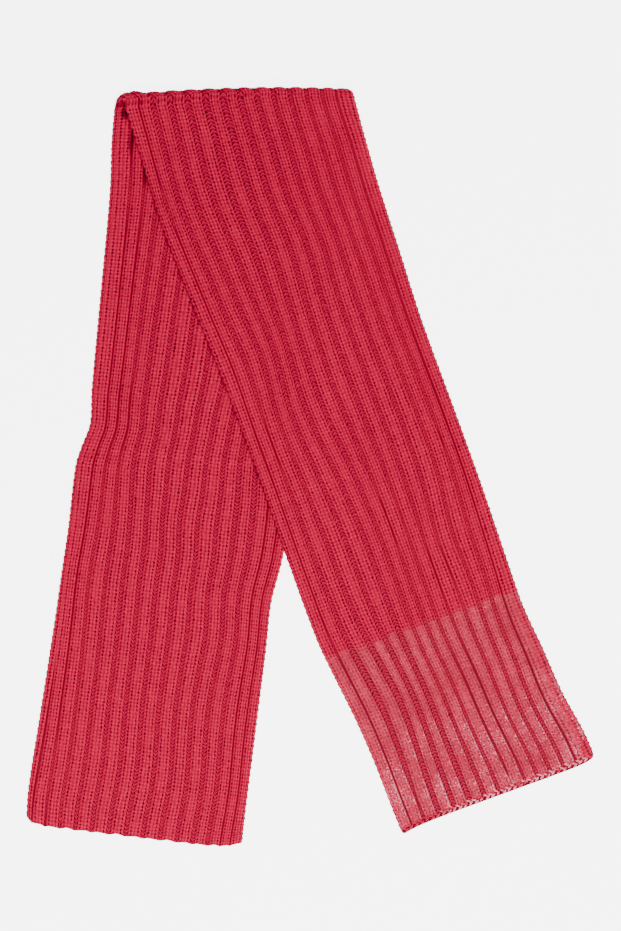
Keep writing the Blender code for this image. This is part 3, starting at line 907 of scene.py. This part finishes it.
def foil_material(first_row, last_row):
    """Yarn whose rib tops carry foil, from a start that differs a little from rib to rib."""
    material = bpy.data.materials.new("foil_on_ribs")
    material.use_nodes = True
    tree = material.node_tree
    shader = tree.nodes["Principled BSDF"]
    yarn, on_rib, place, wale, row, shade = knit_colour(tree, UPPER.facing, UNFOILED_RECESS_SHADE)
    within = wale % RIB_PITCH
    rib = wale.node("ShaderNodeTexWhiteNoise", {"noise_dimensions": "1D"}, {"W": (wale - within) / RIB_PITCH})
    started = (row - first_row - rib * FOIL_STAGGER).soft(-0.05, 0.12)
    middle = abs(within - RIB_MIDDLE)
    fine = yarn.noise(place, FLECK_SCALE, 1.0, 0.6)
    patch = yarn.noise(place, PATCH_SCALE, 3.0, 0.6)
    selvedge = wale.soft(4.0, 0.0) + (LAST_WALE - wale).soft(5.0, 0.0)
    # Where painted highlights gather: random patches, the ribs' edges, towards the end, and each rib's right
    # edge near the end.
    near_end = row.soft(first_row + GLINT_FROM, first_row + GLINT_TO)
    right_edge = within.soft(1.9, 3.1) * near_end
    glint_spread = patch * 0.45 + middle.soft(1.0, 1.7) * 0.10 + near_end * 0.11 + right_edge * 0.09
    bare = wale.soft(0.8, 0.2) * 0.6 + abs(LAST_WALE - BARE_LINE - wale).soft(0.40, 0.15)
    bare = bare + (LAST_WALE - wale).soft(0.8, 0.2) * 0.5
    bare = bare + (LAST_WALE - wale).soft(2.3, 1.3) * row.soft(last_row - 7.0, last_row - 3.0)
    ended = row.soft(last_row - 0.3, last_row - 0.9)
    held = patch - selvedge * 0.08 - bare * 0.4 + fine * 0.30
    cover = on_rib * started * ended * shade.soft(0.8, 0.4) * held.soft(0.34, 0.50)
    # Painted highlight: pale flecks standing for the foil's glints; the same places are made a little
    # metallic.
    pale = (fine + glint_spread - 0.95).soft(0.0, 0.16)
    # The foil takes painted shade where the yarn's painted pits are, and at each rib's edges.
    pit = yarn.node("ShaderNodeSeparateColor", None, {0: yarn}, output=0).soft(0.46, 0.16)
    mottle = yarn.noise(place, MOTTLE_SCALE, 2.0, 0.6) * 0.7 + patch * 0.3
    coat = mottle.soft(0.38, 0.62).blend(FOIL_DUSKY, FOIL_PINK)
    coat = pit.blend(coat, FOIL_SHADE)
    coat = pale.blend(coat, FOIL_GLINT)
    coat = (middle.soft(1.50, 1.70) * 0.8).blend(coat, FOIL_SHADE)
    mixed = (cover * 0.94).blend(yarn, coat)
    tree.links.new(mixed.socket, shader.inputs["Base Color"])
    tree.links.new((0.85 - cover * 0.35).socket, shader.inputs["Roughness"])
    tree.links.new((cover * pale * 0.30).socket, shader.inputs["Metallic"])
    shader.inputs["Specular IOR Level"].default_value = 0.15
    return material


foil_on_ribs = foil_material(upper_rows / STEPS_PER_ROW, (upper_rows + FOIL_ROWS) / STEPS_PER_ROW)
foil_knit, upper_rows = upper_stretch(
    "foil_knit", FOIL_START, FOIL_END, FOIL_ROWS // ROW_STEPS, upper_rows, foil_on_ribs, "foil_stretch",
)

# The bind-off: the last stitches are drawn through one another in a chain along the end. The foil caught the
# chain's upper loops and left the hem bare at both corners.
HEM_HEIGHT = 2.4
# The strength of painted shade over the whole hem under the chain.
HEM_SHADE = 1.1
HEM_TIP = 0.60
HEM_TIP_REACH = 5.0
HEM_STEPS = 12
HEM_ROUND = 4.0
HEM_ROUNDNESS = 0.96
HEM_INNER = (1.6, 0.62)
HEM_OUTER = (1.9, 0.30)
LOOP_LENGTH = 6.4
LOOP_WIDTH = 2.3
LOOP_HEIGHT = 3.0
LOOP_TURN = 34.0
LOOP_APART = 1.25
LOOP_WAVE = 0.8
LOOP_COUNT = 35
LOOP_RUN = FOIL_END + 0.5
LOOP_INSET = 0.008
LOOP_STAGGER = 0.16
LOOP_UNEVEN_APART = 0.25
LOOP_UNEVEN_LENGTH = 0.10
LOOP_UNEVEN_TURN = 10.0
END_TURN = 20.0
CAUGHT_SCALE = 190.0
# Foil on the chain's loops, painted pale with its highlight.
CAUGHT_LOOP_GLINT = (0.98, 0.26, 0.34, 1.0)

hem_run = np.linspace(FOIL_END, UPPER.end, HEM_STEPS + 1)
hem_across, _, hem_shut, _ = laid_columns(UPPER, np.full(HEM_STEPS + 1, FOIL_END))
hem_wale = np.broadcast_to(columns_of(UPPER)[None, :], hem_across.shape)
hem_row = np.broadcast_to((upper_rows + np.arange(HEM_STEPS + 1))[:, None] / STEPS_PER_ROW, hem_across.shape)
hem_share = (hem_run - FOIL_END) / BIND_OFF_WIDTH
hem_drawn = HEM_ROUND * (1.0 - np.sqrt(1.0 - HEM_ROUNDNESS * hem_share ** 2))[:, None]
hem_shrink = 1.0 - 2.0 * hem_drawn / course_at(UPPER.course, hem_run[-1:]).width
hem_x, hem_y = in_plan(
    UPPER, np.broadcast_to(hem_run[:, None], hem_across.shape), 0.5 + (hem_across - 0.5) * hem_shrink,
)
hem_rising = (hem_run - FOIL_END) / HEM_INNER[0] + HEM_INNER[1]
hem_falling = (UPPER.end - hem_run) / HEM_OUTER[0] + HEM_OUTER[1]
hem_over = ease(np.minimum(hem_rising, hem_falling))[:, None]
hem_inside = np.minimum(hem_across, 1.0 - hem_across) * course_at(UPPER.course, hem_run[-1:]).width
hem_top = HEM_HEIGHT * hem_over * (HEM_TIP + (1.0 - HEM_TIP) * ease(hem_inside / HEM_TIP_REACH))
hem_material = yarn_material("hem_yarn", UPPER.facing)
# The hem is painted darker all over as shade, so the gaps between the chain's loops read dark.
bind_off_hem = make_sheet(
    "bind_off_hem", (UPPER_BLOCKS, HEM_STEPS // ROW_STEPS), FINE, (hem_x, hem_y, hem_top),
    (hem_x, hem_y, np.zeros_like(hem_x)), hem_wale, hem_row, hem_shut, np.full_like(hem_x, HEM_SHADE),
    hem_material, "bind_off_edge",
)

bm = bmesh.new()
wale_layer = bm.verts.layers.float.new("wale")
for place in range(2 * LOOP_COUNT):
    side = 1.0 if place % 2 else -1.0
    share = LOOP_INSET + (1.0 - 2.0 * LOOP_INSET) * (place // 2 + 0.5 + LOOP_STAGGER * side) / LOOP_COUNT
    uneven = math.sin(place * 2.4) * math.sin(place * 0.37 + 1.0)
    wave = LOOP_WAVE * math.cos(2.0 * math.pi * (share * LAST_WALE - 0.5 * RIB_WALES) / RIB_PITCH)
    run = LOOP_RUN + side * LOOP_APART * (1.0 + LOOP_UNEVEN_APART * uneven) + wave
    loop_x, loop_y = in_plan(UPPER, np.array([run]), np.array([share]))
    made = bmesh.ops.create_uvsphere(bm, u_segments=8, v_segments=5, radius=0.5)["verts"]
    bmesh.ops.rotate(bm, verts=made, cent=(0, 0, 0), matrix=Matrix.Rotation(math.radians(90.0), 3, "Y"))
    size = (LOOP_LENGTH * (1.0 + LOOP_UNEVEN_LENGTH * uneven), LOOP_WIDTH, LOOP_HEIGHT)
    bmesh.ops.scale(bm, verts=made, vec=[length * MILLIMETRE for length in size])
    turn = math.radians(END_TURN + side * LOOP_TURN + LOOP_UNEVEN_TURN * uneven)
    bmesh.ops.rotate(bm, verts=made, cent=(0, 0, 0), matrix=Matrix.Rotation(turn, 3, "Z"))
    tip = min(1.0, 20.0 * min(share, 1.0 - share))
    height = HEM_HEIGHT * (HEM_TIP + (1.0 - HEM_TIP) * tip)
    at = ((loop_x[0] - MIDDLE_X) * MILLIMETRE, (loop_y[0] - MIDDLE_Y) * MILLIMETRE, height * MILLIMETRE)
    bmesh.ops.translate(bm, verts=made, vec=at)
    for vert in made:
        vert[wale_layer] = share * LAST_WALE
        vert.co.z = max(vert.co.z, 0.0002)
chain_mesh = bpy.data.meshes.new("bind_off_chain")
bm.to_mesh(chain_mesh)
bm.free()
chain_mesh.shade_smooth()
chain_paint = bpy.data.materials.new("foiled_chain")
chain_paint.use_nodes = True
chain_tree = chain_paint.node_tree
chain_shader = chain_tree.nodes["Principled BSDF"]
chain_start = Signal(chain_tree)
chain_wale = chain_start.node("ShaderNodeAttribute", {"attribute_name": "wale"}, output=2)
chain_spot = chain_start.node("ShaderNodeTexCoord", output=3)
# Loops that caught foil are painted pale pink: the foil, with its glints painted in.
coated = chain_wale.soft(12.0, 18.0) * (LAST_WALE - chain_wale).soft(1.2, 3.4)
caught = coated * chain_start.noise(chain_spot, CAUGHT_SCALE, 2.0, 0.6).soft(0.36, 0.50)
chain_colour = (caught * 0.95).blend(YARN_MIDDLE, CAUGHT_LOOP_GLINT)
chain_tree.links.new(chain_colour.socket, chain_shader.inputs["Base Color"])
chain_shader.inputs["Roughness"].default_value = 0.55
chain_shader.inputs["Specular IOR Level"].default_value = 0.2
chain_mesh.materials.append(chain_paint)
bind_off_chain = bpy.data.objects.new("bind_off_chain", chain_mesh)
bpy.context.scene.collection.objects.link(bind_off_chain)
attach(bind_off_chain, "root")
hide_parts("bind_off_edge")
